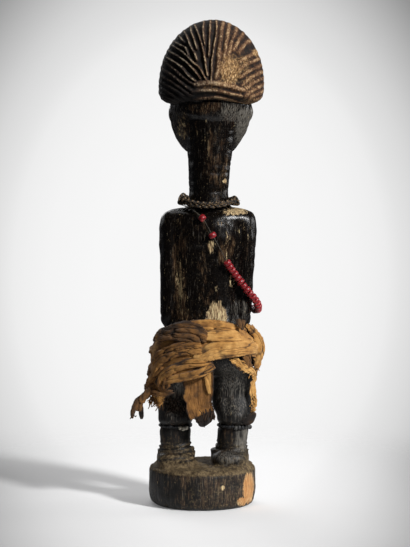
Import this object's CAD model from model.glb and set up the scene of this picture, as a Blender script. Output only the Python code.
# A standing wooden spirit spouse figure, seen from behind: one blackened carving with its round
# base, a braided neck cord, a string of red glass beads, a strand of beads under each knee and a
# worn cotton loincloth. Drawn in millimetres at rest and stored in metres. The figure faces -Y.
import math
import random

import bmesh
import bpy
import numpy as np
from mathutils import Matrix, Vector
from mathutils.bvhtree import BVHTree


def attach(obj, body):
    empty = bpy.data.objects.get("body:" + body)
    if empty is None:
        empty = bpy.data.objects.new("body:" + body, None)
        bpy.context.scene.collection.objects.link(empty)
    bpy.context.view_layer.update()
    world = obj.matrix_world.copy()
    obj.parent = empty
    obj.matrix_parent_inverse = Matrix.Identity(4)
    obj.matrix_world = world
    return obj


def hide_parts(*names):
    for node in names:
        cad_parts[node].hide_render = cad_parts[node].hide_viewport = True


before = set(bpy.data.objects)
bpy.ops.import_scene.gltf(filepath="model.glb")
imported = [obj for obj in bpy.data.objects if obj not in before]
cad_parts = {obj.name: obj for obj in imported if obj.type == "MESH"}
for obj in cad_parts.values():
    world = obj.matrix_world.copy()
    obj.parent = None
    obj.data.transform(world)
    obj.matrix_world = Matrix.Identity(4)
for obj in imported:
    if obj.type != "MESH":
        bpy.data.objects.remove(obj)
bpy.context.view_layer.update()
bpy.ops.object.select_all(action="DESELECT")

# The camera stands behind the figure at the height of its crown, looks down a little, and takes it
# from far off with a long lens. Nothing here is a free cord: the bead thread is a closed loop.
CAMERA_AT = Vector((-0.00224, 2.0, 0.357))
CAMERA_AIM = Vector((-0.00224, 0.0, 0.1922))
bpy.ops.object.camera_add(location=CAMERA_AT)
camera = bpy.context.object
camera.rotation_euler = (CAMERA_AIM - CAMERA_AT).to_track_quat("-Z", "Y").to_euler()
camera.data.sensor_width = 36
camera.data.lens = 159.2
camera.data.clip_end = 60
bpy.context.scene.camera = camera

# The carving: base, feet, legs, trunk, arms, neck, head and coiffure cut from one block of dense
# wood. Each form is drawn out through its stations, and all are fused and smoothed into one skin.
DATUM = 3
BASE_RADIUS = 44
BASE_TOP = 30
LEG_SPREAD = 24
LEG_SHIFT = -1.2
FOOT_HALF_WIDTH = 16
ARM_SPREAD = 30.5
ARM_SET_BACK = 6.5
SHOULDER_TOP = 243
ELBOW_TOP = 156
ELBOW_FOOT = 146
KNEE_BEAD_HEIGHT = 63.4
LEAN_PER_MM = 0.0235
SKIN_VOXEL = 1.4
LEFT_AND_RIGHT = (1, -1)


def along_stations(stations, share):
    """A smooth course through rows of values, read at shares from 0 to 1 of its rows."""
    rows = np.array(stations, float)
    last = len(rows) - 1
    at = np.clip(np.asarray(share, float) * last, 0, last - 1e-9)
    k = at.astype(int)
    t = (at - k)[:, None]
    a, b, c, d = (rows[np.clip(k + n, 0, last)] for n in (-1, 0, 1, 2))
    bend = 2 * a - 5 * b + 4 * c - d + t * (3 * (b - c) + d - a)
    return b + 0.5 * t * (c - a + t * bend)


def unit(rows):
    return rows / np.linalg.norm(rows, axis=1)[:, None]


def places_of(piece):
    flat = np.empty(len(piece.data.vertices) * 3)
    piece.data.vertices.foreach_get("co", flat)
    return flat.reshape(-1, 3)


def move_to(piece, places):
    piece.data.vertices.foreach_set("co", np.ascontiguousarray(places).ravel())
    piece.data.update()


def new_piece(name, mesh):
    piece = bpy.data.objects.new(name, mesh)
    bpy.context.collection.objects.link(piece)
    return piece


def select_only(*pieces):
    bpy.ops.object.select_all(action="DESELECT")
    for piece in pieces:
        piece.select_set(True)
    bpy.context.view_layer.objects.active = pieces[0]


def turn_faces_outwards(piece):
    select_only(piece)
    bpy.ops.object.mode_set(mode="EDIT")
    bpy.ops.mesh.select_all(action="SELECT")
    bpy.ops.mesh.normals_make_consistent(inside=False)
    bpy.ops.object.mode_set(mode="OBJECT")


def drawn_limb(stations, up=(0, 1, 0), sides=32, rows=28, square=2.0, level=False):
    """A closed round whose sections follow [x, y, z, half width, half depth], in flat layers where
    it is level. Its sections are ellipses at square 2 and boxier above."""
    bpy.ops.mesh.primitive_cylinder_add(vertices=sides, radius=1, depth=1, end_fill_type="TRIFAN")
    limb = bpy.context.object
    bpy.ops.object.mode_set(mode="EDIT")
    mesh = bmesh.from_edit_mesh(limb.data)
    for edge in mesh.edges:
        edge.select_set(abs(edge.verts[0].co.z - edge.verts[1].co.z) > 0.5)
    bmesh.update_edit_mesh(limb.data)
    bpy.ops.mesh.subdivide_edgering(number_cuts=rows - 1, interpolation="LINEAR")
    bpy.ops.object.mode_set(mode="OBJECT")
    v = places_of(limb)
    share = v[:, 2] + 0.5
    at = along_stations(stations, share)
    if level:
        along = np.tile([0, 0, np.sign(stations[-1][2] - stations[0][2])], (len(v), 1))
    else:
        ahead = along_stations(stations, np.minimum(share + 1e-3, 1))
        behind = along_stations(stations, np.maximum(share - 1e-3, 0))
        along = unit((ahead - behind)[:, :3])
    across = unit(np.cross(np.array(up, float), along))
    depth = np.cross(along, across)
    out = np.hypot(v[:, 0], v[:, 1])
    safe = np.maximum(out, 1e-6)
    a, b = (np.sign(w) * np.abs(w) ** (2 / square) for w in (v[:, 0] / safe, v[:, 1] / safe))
    end = np.where(share < 1e-6, -1, np.where(share > 1 - 1e-6, 1, 0))
    dome = np.where(out < 1e-6, end * np.minimum(at[:, 3], at[:, 4]) * 0.15, 0)
    moved = (
        at[:, :3]
        + across * (a * out * at[:, 3])[:, None]
        + depth * (b * out * at[:, 4])[:, None]
        + along * dome[:, None]
    )
    move_to(limb, moved)
    return limb


def knob(centre, radii):
    bpy.ops.mesh.primitive_uv_sphere_add(segments=28, ring_count=18, radius=1)
    ball = bpy.context.object
    move_to(ball, places_of(ball) * radii + centre)
    return ball


def mirrored(half):
    """Stations from the right end to the left one, drawn for the left half only."""
    return [[-x, *rest] for x, *rest in half[:0:-1]] + half


def round_base():
    profile = [
        (0, -DATUM),
        (BASE_RADIUS - 5, -DATUM),
        (BASE_RADIUS - 2.8, 1.4 - DATUM),
        (BASE_RADIUS - 1.2, 4.2 - DATUM),
        (BASE_RADIUS, 10 - DATUM),
        (BASE_RADIUS, BASE_TOP - 3.2),
        (BASE_RADIUS - 0.4, BASE_TOP - 1.2),
        (BASE_RADIUS - 1.8, BASE_TOP - 0.1),
        (BASE_RADIUS - 12, BASE_TOP + 0.6),
        (0, BASE_TOP + 1.5),
    ]
    mesh = bpy.data.meshes.new("turned_base")
    edges = [(n, n + 1) for n in range(len(profile) - 1)]
    mesh.from_pydata([(r, 0, z) for r, z in profile], edges, [])
    base = new_piece("turned_base", mesh)
    select_only(base)
    bpy.ops.object.mode_set(mode="EDIT")
    bpy.ops.mesh.select_all(action="SELECT")
    bpy.ops.mesh.spin(steps=72, angle=math.tau, center=(0, 0, 0), axis=(0, 0, 1))
    bpy.ops.mesh.select_all(action="SELECT")
    bpy.ops.mesh.remove_doubles(threshold=0.001)
    bpy.ops.object.mode_set(mode="OBJECT")
    turn_faces_outwards(base)
    return base


def foot(side):
    x = side * (LEG_SPREAD - 1.5) + LEG_SHIFT + 0.8
    wide = FOOT_HALF_WIDTH
    sole = drawn_limb(
        [
            [x, 23, 33, wide * 0.7, 5],
            [x, 17, 34.5, wide * 0.92, 7.5],
            [x, 4, 36, wide, 9],
            [x + side, -13, 34.5, wide * 0.94, 6.5],
            [x + side * 1.5, -25, 33, wide * 0.95, 4.5],
        ],
        up=(0, 0, 1),
        square=2.4,
    )
    toes = [
        knob((x + side * 1.5 + n * 6.1, -27 + abs(n), 33), (3.0, 5.4, 3.8)) for n in range(-2, 3)
    ]
    ankles = [
        knob((x - side * 11.5, 5, 41), (5, 7, 4)),
        knob((x + side * 12.5, 4, 41.5), (3, 5, 3.6)),
    ]
    if side > 0:
        heel = knob((x + 0.8, 14.5, 36.8), (14.4, 10, 6.2))
    else:
        heel = knob((x + 0.6, 17, 36.6), (14.2, 9.6, 7.2))
    return [sole, *toes, *ankles, heel]


def leg(side):
    stations = [
        [22.5 + 0.8 * side, 5, 33, 15.2, 15],
        [23 + 0.6 * side, 4.5, 43, 12.9, 12.6],
        [23.8 + 0.5 * side, 4.5, 52, 12.6, 12.2],
        [24.2 + 0.2 * side, 4.6, 59.6, 12.9, 12.4],
        [24.3, 5, KNEE_BEAD_HEIGHT, 11.3, 11.8],
        [24.3, 6, 67.4, 14.2, 15.2],
        [24.3, 5.5, 74, 14.7, 16],
        [24.5, 1.5, 82, 15.6, 15.2],
        [24.3, -2, 92, 16.6, 16],
        [23.8, -0.5, 103, 17.4, 18.5],
        [22, 3, 114, 17.6, 22],
        [19, 3, 126, 17, 23],
    ]
    placed = [[side * x + LEG_SHIFT, *rest] for x, *rest in stations]
    return drawn_limb(placed, sides=40, rows=60, square=2.15, level=True)


def trunk():
    stations = [
        [0, 2, 106, 30, 18],
        [0, 4, 115, 36, 26.5],
        [0, 5, 127, 37.2, 28.5],
        [0, 4, 139, 34, 26],
        [0, 1.5, 151, 31.5, 24.5],
        [0, 0.5, 166, 29, 23.5],
        [0, 0.5, 185, 29, 23.5],
        [0, 1, 205, 30, 24.5],
        [0, 1.5, 222, 31, 25.5],
        [0, 1.5, 235, 28.5, 24],
        [0, 2, 243, 22, 18],
    ]
    return drawn_limb(stations, sides=64, rows=80, square=2.6, level=True)


def shoulders():
    half = [
        [0, 2, SHOULDER_TOP - 9.5, 10.8, 23],
        [15, 2.5, SHOULDER_TOP - 9.4, 10.7, 22.3],
        [27, 4, SHOULDER_TOP - 10.2, 10.4, 16],
        [35, 5.5, SHOULDER_TOP - 12, 9, 11.5],
    ]
    return drawn_limb(mirrored(half), sides=48, rows=48, square=2.5)


def belly_and_breasts():
    return [
        knob((0, -13, 170), (21, 15, 25)),
        knob((0, -28.2, 168), (3, 3.6, 3)),
        *[knob((side * 13, -17.5, 217), (12, 8.5, 10)) for side in LEFT_AND_RIGHT],
        *[knob((side * 13.5, -25.6, 215.5), (1.9, 2.2, 1.9)) for side in LEFT_AND_RIGHT],
    ]


def arm(side):
    upper = drawn_limb(
        [
            [side * ARM_SPREAD, ARM_SET_BACK - 1, SHOULDER_TOP - 2, 5, 8],
            [side * (ARM_SPREAD + 0.4), ARM_SET_BACK - 1, SHOULDER_TOP - 7, 8.4, 11.5],
            [side * (ARM_SPREAD + 0.8), ARM_SET_BACK - 0.5, 226, 9.5, 12.5],
            [side * (ARM_SPREAD + 0.4), ARM_SET_BACK, 208, 9.1, 11.6],
            [side * (ARM_SPREAD - 0.3), ARM_SET_BACK, 186, 8.5, 10.3],
            [side * (ARM_SPREAD - 0.8), ARM_SET_BACK, 166, 8.4, 10],
            [side * (ARM_SPREAD - 1.2), ARM_SET_BACK + 0.5, ELBOW_TOP, 8.2 + 0.4 * side, 9.6],
            [side * (ARM_SPREAD - 2) + 1.2, ARM_SET_BACK + 1.5, ELBOW_FOOT, 4.4 + side, 5.5],
        ],
        rows=60,
        level=True,
    )
    fore = drawn_limb(
        [
            [side * 29.5, 8, 152, 6.5, 7],
            [side * 30, -3, 152, 7.5, 7.8],
            [side * 28, -14, 155.5, 6.8, 6.8],
            [side * 22.5, -24, 160, 5.4, 5.4],
            [side * 18, -28.5, 162.5, 4.6, 4.8],
        ],
        up=(0, 0, 1),
    )
    palm = drawn_limb(
        [
            [side * 20, -27, 162, 5, 3],
            [side * 15.5, -29.5, 163.5, 7, 3],
            [side * 11, -30, 165, 7.2, 2.4],
        ],
        up=(0, -1, 0),
    )
    fingers = [
        drawn_limb(
            [
                [side * 13, -30.4, 164.5 + n * 3.4, 1.55, 1.7],
                [side * 5.8, -30.2, 166 + n * 3.6, 1.4, 1.6],
            ],
            up=(0, -1, 0),
            sides=16,
            rows=8,
        )
        for n in (-1.5, -0.5, 0.5, 1.5)
    ]
    return [upper, fore, palm, *fingers]


def neck():
    stations = [
        [0, 2, 238, 24, 19],
        [0, 2.5, 245, 18.5, 17.5],
        [0, 3, 254, 16.4, 16.2],
        [0, 3, 271, 17, 16.6],
        [0, 3, 290, 18.6, 17.4],
        [0, 2, 306, 21.2, 19],
        [0, 1, 321, 24.4, 21],
    ]
    return drawn_limb(stations, sides=48, rows=48, level=True)


SKULL = [
    [0, -27, 284, 6, 6],
    [0, -22, 289.5, 18.5, 14.5],
    [0.6, -15.5, 299, 26.7, 22.5],
    [0.3, -11, 310, 31.6, 27],
    [0, -8.5, 321, 33.4, 30],
    [0, -7.5, 333, 33.8, 31.2],
    [0, -6.5, 345, 32.5, 30],
    [0, -5, 357, 24, 22],
]


def face_at(x, z):
    """How far forward the plain head stands at a place across and up it."""
    for share in np.linspace(0, 1, 400):
        row = along_stations(SKULL, [share])[0]
        if row[2] >= z:
            break
    inside = max(0.0, 1 - (abs(x) / row[3]) ** 2.1)
    return row[1] - row[4] * inside ** (1 / 2.1)


def head():
    skull = drawn_limb(SKULL, sides=56, rows=60, square=2.1, level=True)
    nape = drawn_limb(
        [[0, 0, 319, 25.4, 23.6], [0, 0, 326, 29.5, 25.7], [0, 0, 336, 33.5, 27.7]],
        sides=48,
        level=True,
    )
    nose = drawn_limb(
        [
            [0, face_at(0, 332), 332, 2.6, 2.2],
            [0, face_at(0, 322) - 1, 322, 2.8, 3.4],
            [0, face_at(0, 312) - 1.5, 312, 4.6, 5],
            [0, face_at(0, 309) + 1, 308.5, 3.6, 3],
        ],
        level=True,
    )
    lips = [
        knob((0, face_at(0, 300.5) + 0.5, 300.5 + n * 1.3), (6.6 - n, 2.8, 1.5)) for n in (-1, 1)
    ]
    features = []
    for side in LEFT_AND_RIGHT:
        eye = (side * 12.5, face_at(side * 12.5, 318.5) + 1.2, 318.5)
        brow = [(3, 328), (12, 331.5), (22, 326.5)]
        features.append(knob(eye, (6.8, 3.2, 3.2)))
        features.append(
            drawn_limb(
                [[side * x, face_at(side * x, z), z, 1.3, 1.3] for x, z in brow],
                up=(0, -1, 0),
                sides=16,
            )
        )
        features.append(knob((side * 32.8, -5, 322.8), (2.2, 5, 6.6)))
    return [skull, nape, nose, *lips, *features]


def fused(name, forms, voxel, rounds):
    """One closed skin over all the forms, its inner corners rubbed round."""
    select_only(*forms)
    bpy.ops.object.join()
    whole = bpy.context.object
    whole.name = name
    remesh = whole.modifiers.new("skin", "REMESH")
    remesh.mode = "VOXEL"
    remesh.voxel_size = voxel
    bpy.ops.object.modifier_apply(modifier="skin")
    smooth = whole.modifiers.new("rubbed", "SMOOTH")
    smooth.factor = 0.5
    smooth.iterations = rounds
    bpy.ops.object.modifier_apply(modifier="rubbed")
    return whole


forms = [round_base(), trunk(), shoulders(), *belly_and_breasts(), neck(), *head()]
for side in LEFT_AND_RIGHT:
    forms += [*foot(side), leg(side), *arm(side)]
carving = fused("blackened_carving", forms, SKIN_VOXEL, 5)

# The coiffure: a high shell combed into ridges that fan up from a short line at the back of the
# head, with three flat rolls over the nape. It is cut from the same block as the head.
HAIR_CENTRE_HEIGHT = 345.7
HAIR_HALF_WIDTH = 43.4
HAIR_RISE = 53
HAIR_DROP = 18
HAIR_BACK = 37
HAIR_FRONT = 32
HAIR_CUT = 2.5
COMBED_SHARP = [
    [(34.2, 365.9), (28.6, 362.5), (23, 357.8), (18.2, 352.4), (13.3, 348.4)],
    [(35.7, 372.8), (27.4, 367.9), (21.2, 363.8), (14.9, 357.8), (9.3, 350.4)],
    [(33.8, 377.9), (26.9, 373.4), (21.3, 369.3), (15, 363.2), (9.5, 358.4), (4.5, 349.6)],
    [(31.5, 380.6), (24.9, 376.7), (21.4, 374.7), (19.3, 369.9)],
    [(27.9, 385.4), (25.1, 382.2), (23, 380.1)],
    [(23.9, 389.5), (20.3, 383.5), (18.1, 377.4), (14.5, 370.6), (12.4, 365.2)],
    [(18.5, 392.9), (17, 386.9), (14.1, 379.4), (12.5, 374.6)],
    [(14.7, 393.9), (11.6, 386.2), (8.6, 377.3), (6.4, 369.2), (5, 362.5), (3.3, 353.1)],
    [(7.6, 396.6), (7.5, 386.9), (6.3, 378)],
    [(2, 397.6), (2.4, 387.5), (2.5, 377.3), (2.7, 368.5)],
    [(-2.8, 397.6), (-3, 387.5), (-1.5, 377.3), (-0.4, 367.2), (0.1, 357.1), (0.2, 348.7)],
]
COMBED_LOW = [
    [(38.4, 363.9), (32, 359.1), (25, 353.4), (19.4, 349), (14.6, 345.7)],
    [(39.7, 357.8), (33.2, 353.4), (26.2, 348.3), (20.7, 343.6), (16.5, 340.6)],
    [(40.3, 352), (33, 347.7), (26.1, 342.9), (20.6, 338.9), (15.8, 336.2)],
    [(40.7, 346.9), (34.3, 343.6), (27.4, 339.6), (20.5, 334.9), (17.1, 332.8)],
    [(40.6, 341.8), (32.8, 337.8), (25.9, 333.8), (20.4, 330.8)],
    [(38.7, 336.7), (31.4, 333.4), (23.8, 329.4)],
    [(35.2, 332.3), (29.3, 329.7), (24.4, 327)],
]
COMBED_WORN = [
    [(-8.3, 396.6), (-6.9, 384.1), (-5.5, 373.9), (-5.3, 363.8), (-3.6, 351.1)],
    [(-13.5, 394.6), (-11.7, 382.8), (-10.5, 373.9), (-9.2, 363.8), (-7.4, 355.1)],
    [(-20.1, 391.9), (-16.3, 382.1), (-14.4, 374), (-12.7, 364.5)],
    [(-25.7, 388.2), (-21.3, 381.1), (-17.8, 374)],
    [(-31.3, 382.1), (-26, 377.4), (-21.3, 372)],
    [(-36.2, 372.1), (-29.6, 368.6), (-22.8, 364.5)],
    [(-39.5, 366.7), (-33.8, 364.6), (-27.6, 361.8), (-21.6, 357.8)],
    [(-41.8, 361.3), (-36, 359.2), (-29.8, 356.1), (-23.8, 351.7)],
    [(-42, 355.8), (-37.5, 354.1), (-31.3, 350.4), (-25.3, 345.6)],
    [(-42, 350.3), (-37.6, 348.7), (-32.1, 345.6), (-26.8, 340.9)],
    [(-42, 344.8), (-38.5, 343.2), (-33, 340.2), (-28.3, 335.5)],
    [(-41.5, 339.4), (-37.3, 337.4), (-32.5, 334.8), (-29.2, 330)],
    [(-38.9, 333.3), (-34.7, 331.3), (-30.7, 326.6)],
]
ROLLS = [
    [(13.3, 345.5), (7.9, 346.3), (2.5, 347), (-5.6, 346.2), (-14.4, 344.9), (-25.4, 341.3)],
    [(15.2, 339.5), (9.1, 340.5), (2.4, 341.2), (-4.4, 340.6), (-11.2, 339.3), (-24.5, 336.1)],
    [(15.7, 332.4), (7.6, 334.1), (2.2, 334.8), (-4.5, 334.9), (-18.1, 332.5), (-27.5, 329.4)],
]
ROLL_HALF_WIDTHS = (2.2, 1.25, 1.2)


def ease(low, high, value):
    t = np.clip((np.asarray(value, float) - low) / (high - low), 0, 1)
    return t * t * (3 - 2 * t)


def blend(a, b, t):
    return a + (b - a) * t


def lumps(points, size, seed):
    """Smooth random heights from -1 to 1 whose features have a size in millimetres per axis."""
    p = np.asarray(points, float) / np.asarray(size, float) + 31.7 * seed
    cell = np.floor(p).astype(np.int64)
    f = p - cell
    f = f * f * (3 - 2 * f)
    total = np.zeros(len(p))
    for corner in range(8):
        bits = np.array([corner & 1, corner >> 1 & 1, corner >> 2 & 1])
        x, y, z = (cell + bits).T
        code = (x * 374761393 + y * 668265263 + z * 1442695041) & 0x7FFFFFFF
        code = ((code ^ (code >> 13)) * 1274126177) & 0x7FFFFFFF
        height = ((code ^ (code >> 16)) & 0xFFFF) / 32767.5 - 1
        total += height * np.prod(np.where(bits, f, 1 - f), axis=1)
    return total


def cut_ridge(x, z, course, half_width):
    """The height from 0 to 1 of a ridge along a course, flat on top and rounded at its ends."""
    line = along_stations(course, np.linspace(0, 1, 4 * len(course)))
    nearest = np.full(len(x), 1e9)
    for (x0, z0), (x1, z1) in zip(line, line[1:]):
        dx, dz = x1 - x0, z1 - z0
        t = np.clip(((x - x0) * dx + (z - z0) * dz) / (dx * dx + dz * dz), 0, 1)
        nearest = np.minimum(nearest, np.hypot(x - x0 - t * dx, z - z0 - t * dz))
    return 1 / (1 + (nearest / half_width) ** 4)


def hair_shell():
    """A round shell as a grid behind and rings in front, each point at a reach of 1 or less."""
    across, up, over = 176, 160, 13
    u, v = np.meshgrid(np.linspace(-1, 1, across + 1), np.linspace(-1, 1, up + 1))
    u, v = u.ravel(), v.ravel()
    brow = -0.49
    v = np.where(v > brow, (v - brow) / (1 - brow), (v - brow) / (1 + brow))
    a, b = u * np.sqrt(1 - v**2 / 2), v * np.sqrt(1 - u**2 / 2)
    reach = np.maximum(np.hypot(a, b), 1e-6)
    scale = np.sin(1.2 * np.minimum(reach, 1)) / math.sin(1.2) / reach
    vx, vz = a * scale, b * scale
    vy = np.sqrt(np.clip(1 - vx**2 - vz**2, 0, 1))
    wide_row = across + 1
    rim = [*range(across), *(k * wide_row + across for k in range(up))]
    rim += [up * wide_row + k for k in range(across, 0, -1)]
    rim += [k * wide_row for k in range(up, 0, -1)]
    vy[rim] = 0
    faces = [
        (k * wide_row + j, k * wide_row + j + 1, (k + 1) * wide_row + j + 1, (k + 1) * wide_row + j)
        for k in range(up)
        for j in range(across)
    ]
    before = rim
    for k in range(1, over):
        bow = k / over * math.pi / 2
        ring = list(range(len(vx), len(vx) + len(rim)))
        vx = np.append(vx, vx[rim] * math.cos(bow))
        vz = np.append(vz, vz[rim] * math.cos(bow))
        vy = np.append(vy, np.full(len(rim), -math.sin(bow)))
        faces += [(before[n - 1], before[n], ring[n], ring[n - 1]) for n in range(len(rim))]
        before = ring
    vx, vy, vz = np.append(vx, 0), np.append(vy, -1), np.append(vz, 0)
    faces += [(before[n - 1], before[n], len(vx) - 1) for n in range(len(rim))]
    return vx, vy, vz, faces


def hair_crests(x, z, behind, place):
    """How high the hair stands: narrow ridges with wide valleys on the figure's left, broad worn
    ones on its right, rolls at the nape. In front the ridges run down towards the brow."""
    crest = np.zeros(len(x))
    x_cut = x + 0.4 * lumps(place, 7, 3) + 0.16 * lumps(place, 2.5, 4)
    z_cut = z + 0.4 * lumps(place, 7, 5)
    for courses, half_width, height in (
        (COMBED_SHARP, 0.8, 1),
        (COMBED_LOW, 1.05, 0.7),
        (COMBED_WORN, 1.7, 0.85),
    ):
        for course in courses:
            (x0, z0), (x1, z1) = course[:2]
            stretch = 5 / math.hypot(x0 - x1, z0 - z1)
            rim_end = (x0 + (x0 - x1) * stretch, z0 + (z0 - z1) * stretch)
            ridge = cut_ridge(x_cut, z_cut, [rim_end, *course], half_width)
            to_brow = [(x0 * share, 345 + (z0 - 345) * share) for share in (0.62, 0.3)]
            front_ridge = cut_ridge(x_cut, z_cut, [rim_end, *to_brow], 1.4)
            crest = np.maximum(crest, height * np.where(behind, ridge, front_ridge))
    notch = 1 - 0.7 * ease(0.2, 1, np.cos(math.tau * (x + 0.6 * lumps(place, 5, 8)) / 3.1))
    below = ease(0.6, -0.6, z - np.interp(-x, [-15.7, -2, 27.5], [332.4, 334.9, 329.4]))
    for n, course in enumerate(ROLLS):
        roll = cut_ridge(x_cut, z_cut, course, ROLL_HALF_WIDTHS[n]) * behind
        if n == 2:
            roll = roll * blend(1, notch, below)
        crest = np.maximum(crest, roll)
    return crest


def coiffure():
    vx, vy, vz, faces = hair_shell()
    out = np.maximum(np.hypot(vx, vz), 1e-6)
    c, s = vx / out, vz / out
    low = vz < 0
    squarer = np.where(low, np.maximum(c**4 + s**4, 1e-9) ** -0.25, 1)
    boxy = np.where(low, blend(1, (np.abs(vy) ** 3 + out**3) ** (-1 / 3), -s), 1)
    lobe = blend(0.86, 1, ease(0.3, 0.7, np.abs(vx)))
    rise = np.where(low, HAIR_DROP * lobe, HAIR_RISE)
    wide, tall, deep = vx * squarer * boxy, vz * squarer * boxy, vy * boxy
    x, z = wide * HAIR_HALF_WIDTH, HAIR_CENTRE_HEIGHT + tall * rise
    place = np.stack([x, z, deep * 20], axis=1)
    behind = vy > 0
    crest = hair_crests(x, z, behind, place)
    smooth_spot = np.exp(-(((x + 15.5) / 8) ** 2) - ((z - 356) / 10) ** 2) * behind
    depth = HAIR_CUT * (1 - 0.84 * ease(0.86, 1, out)) * (1 - 0.6 * smooth_spot)
    depth *= 1 + 0.25 * lumps(place, 6, 6)
    cut = depth * (crest - 0.5)
    shaped = np.stack(
        [
            wide * (HAIR_HALF_WIDTH + cut),
            deep * (np.where(behind, HAIR_BACK, HAIR_FRONT) + cut),
            HAIR_CENTRE_HEIGHT + tall * (rise + cut * ~low),
        ],
        axis=1,
    )
    mesh = bpy.data.meshes.new("coiffure")
    mesh.from_pydata(shaped, [], faces)
    mesh.attributes.new("combed", "FLOAT", "POINT").data.foreach_set("value", 1 + crest)
    shell = new_piece("coiffure", mesh)
    turn_faces_outwards(shell)
    return shell


# The skin of the carving: adze facets, dry checks in the base, fine cross cuts on the neck, upright
# cuts on the clipped nape, and crusted earth on top of the base and over the feet.
shell = coiffure()
select_only(carving)
union = carving.modifiers.new("one block", "BOOLEAN")
union.operation = "UNION"
union.solver = "MANIFOLD"
union.object = shell
bpy.ops.object.modifier_apply(modifier="one block")
bpy.data.objects.remove(shell)


def spot(x, z, half_wide, half_high, strength):
    """A soft mark on the back of the figure, from 0 outside it to its strength inside."""
    reach = np.hypot((skin[:, 0] - x) / half_wide, (skin[:, 2] - z) / half_high)
    return strength * ease(1.5, 0.5, reach) * (skin[:, 1] > 0)


def normals_of(piece):
    flat = np.empty(len(piece.data.vertices) * 3)
    piece.data.vertex_normals.foreach_get("vector", flat)
    return flat.reshape(-1, 3)


combed = np.empty(len(carving.data.vertices))
carving.data.attributes["combed"].data.foreach_get("value", combed)
on_hair = combed > 0.5
skin = places_of(carving)
facing = normals_of(carving)
x, y, z = skin.T
from_axis = np.hypot(x, y)
height = 0.34 * lumps(skin, 8, 11) + 0.14 * lumps(skin, 3, 12)
height += 0.12 * lumps(skin, (2.2, 2.2, 18), 13)

base_side = ease(40, 42.5, from_axis) * ease(31, 28, z)
checks = ease(0.15, 0.75, lumps(skin, (1.9, 1.9, 17), 14))
height += base_side * (0.5 + 0.25 * lumps(skin, (5, 5, 40), 15) - 0.6 * checks)
edge_wear = ease(38, 43.5, from_axis) * ease(25, 29.5, z)
height -= edge_wear * (0.9 + 1.1 * lumps(skin, 5, 16))
ground = ease(0.4, 0.8, facing[:, 2]) * ease(26, 29, z) * ease(40, 34, z)
height += ground * (0.6 * lumps(skin, 2.6, 17) + 1.0 * lumps(skin, 9, 18))
ankle_folds = ease(41, 43, z) * ease(51, 48, z) * ease(44, 40, from_axis)
ridges = np.sin(1.7 * (z + 0.1 * x + 0.9 * lumps(skin, 8, 24)))
height += ankle_folds * 0.9 * ridges

neck_band = ease(253, 259, z) * ease(317, 311, z) * ease(27, 24, from_axis)
height -= neck_band * (0.3 + 0.2 * ease(6, -4, x)) * ease(0.0, 0.7, lumps(skin, (16, 16, 1.7), 19))
nape_edge = 316.4 + 5.2 * ease(-4, 22, x)
nape_band = ease(nape_edge - 0.7, nape_edge + 0.7, z) * ease(334, 331, z) * ease(0, 8, y)
around = np.arctan2(y, x) * 26
upright = lumps(np.stack([around, z * 0, z], axis=1), (1.3, 1, 14), 20)
height += nape_band * (0.8 + 0.32 * upright)

groove = np.exp(-(((np.abs(x) - 22.4) / 1.5) ** 2)) * (y > 8)
height -= 0.4 * groove * ease(152, 160, z) * ease(234, 222, z)
inner = np.clip(facing[:, 0], 0, 1) * ease(0.5, -2, x) * ease(-19, -15, x) * (np.abs(y - 4) < 19)
height += 3.0 * inner * ease(70.5, 80, z) * ease(116, 106, z)
chips = ease(0.5, 0.75, lumps(skin, (4.5, 4.5, 9), 21)) * (z > 42)
height -= 0.35 * chips
height = np.where(on_hair, 0.22 * lumps(skin, 2.2, 22), height)
resting = ease(-DATUM, -DATUM + 1.5, z)
skin = skin + facing * (height * resting)[:, None]

bare = np.maximum.reduce(
    [
        spot(-9, 151, 8.2, 15.4, 1.2),
        spot(-22.8, 241.5, 9.8, 2.9, 0.75),
        spot(-3.2, 213.9, 3.3, 5.7, 0.75),
        spot(-15.1, 213.8, 4.9, 12.2, 0.2),
        spot(-20.8, 184.6, 2, 7.3, 0.5),
        spot(-8.6, 178.4, 2.4, 4.1, 0.3),
        spot(21.9, 181.3, 3.7, 21.2, 0.45),
        spot(24.8, 236.2, 4.1, 4.1, 0.2),
        spot(-24.7, 225, 2, 3.3, 0.3),
        spot(-32.6, 212.6, 2, 10.6, 0.2),
        spot(-11.4, 231.9, 7.3, 2.4, 0.25),
        spot(-12.7, 266.6, 1.6, 1.6, 1.2),
        spot(-38.2, 13.1, 4.1, 13.1, 1.35),
        spot(-33.3, 2.5, 4.6, 3.7, 1.1),
        spot(-16.5, 16.4, 1.6, 2.1, 1.1),
        spot(22.6, 309, 4.5, 13, 0.5),
    ]
)
browned = np.maximum.reduce(
    [
        spot(22.2, 195.3, 6.5, 34.3, 0.8),
        spot(3.2, 192.5, 4.9, 13.9, 0.65),
        spot(23, 233.2, 9, 7.3, 0.2),
        spot(-5.7, 230.3, 15.5, 6.5, 0.35),
        spot(13, 156.2, 15.5, 6.5, 0.6),
        spot(-31.8, 212.6, 4.1, 14.7, 0.5),
        spot(-15.2, 210.5, 6.5, 16.3, 0.9),
        spot(-9.6, 169.3, 18, 8.2, 0.4),
        spot(-3.6, 284, 7.3, 29.4, 0.5),
        spot(-7, 322, 15, 7, 0.25),
        spot(11.7, 308.4, 4.9, 8.2, 0.3),
        spot(27, 58, 12, 34, 0.55),
        spot(-22, 45, 10, 22, 0.5),
        0.7 * base_side * (1 - 0.5 * ease(8, 24, x)),
        spot(-30.5, 149, 5, 4, 0.95),
        spot(-8, 284, 8, 28, 0.62),
        spot(22, 318, 5, 8, 0.7),
        spot(-16, 316, 9, 7, 0.7),
        spot(2, 327, 20, 6, 0.6),
        spot(21, 311, 6, 14, 0.9),
        spot(26, 88, 12, 22, 0.7),
        spot(23, 81, 9, 6, 0.95),
    ]
)
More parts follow.
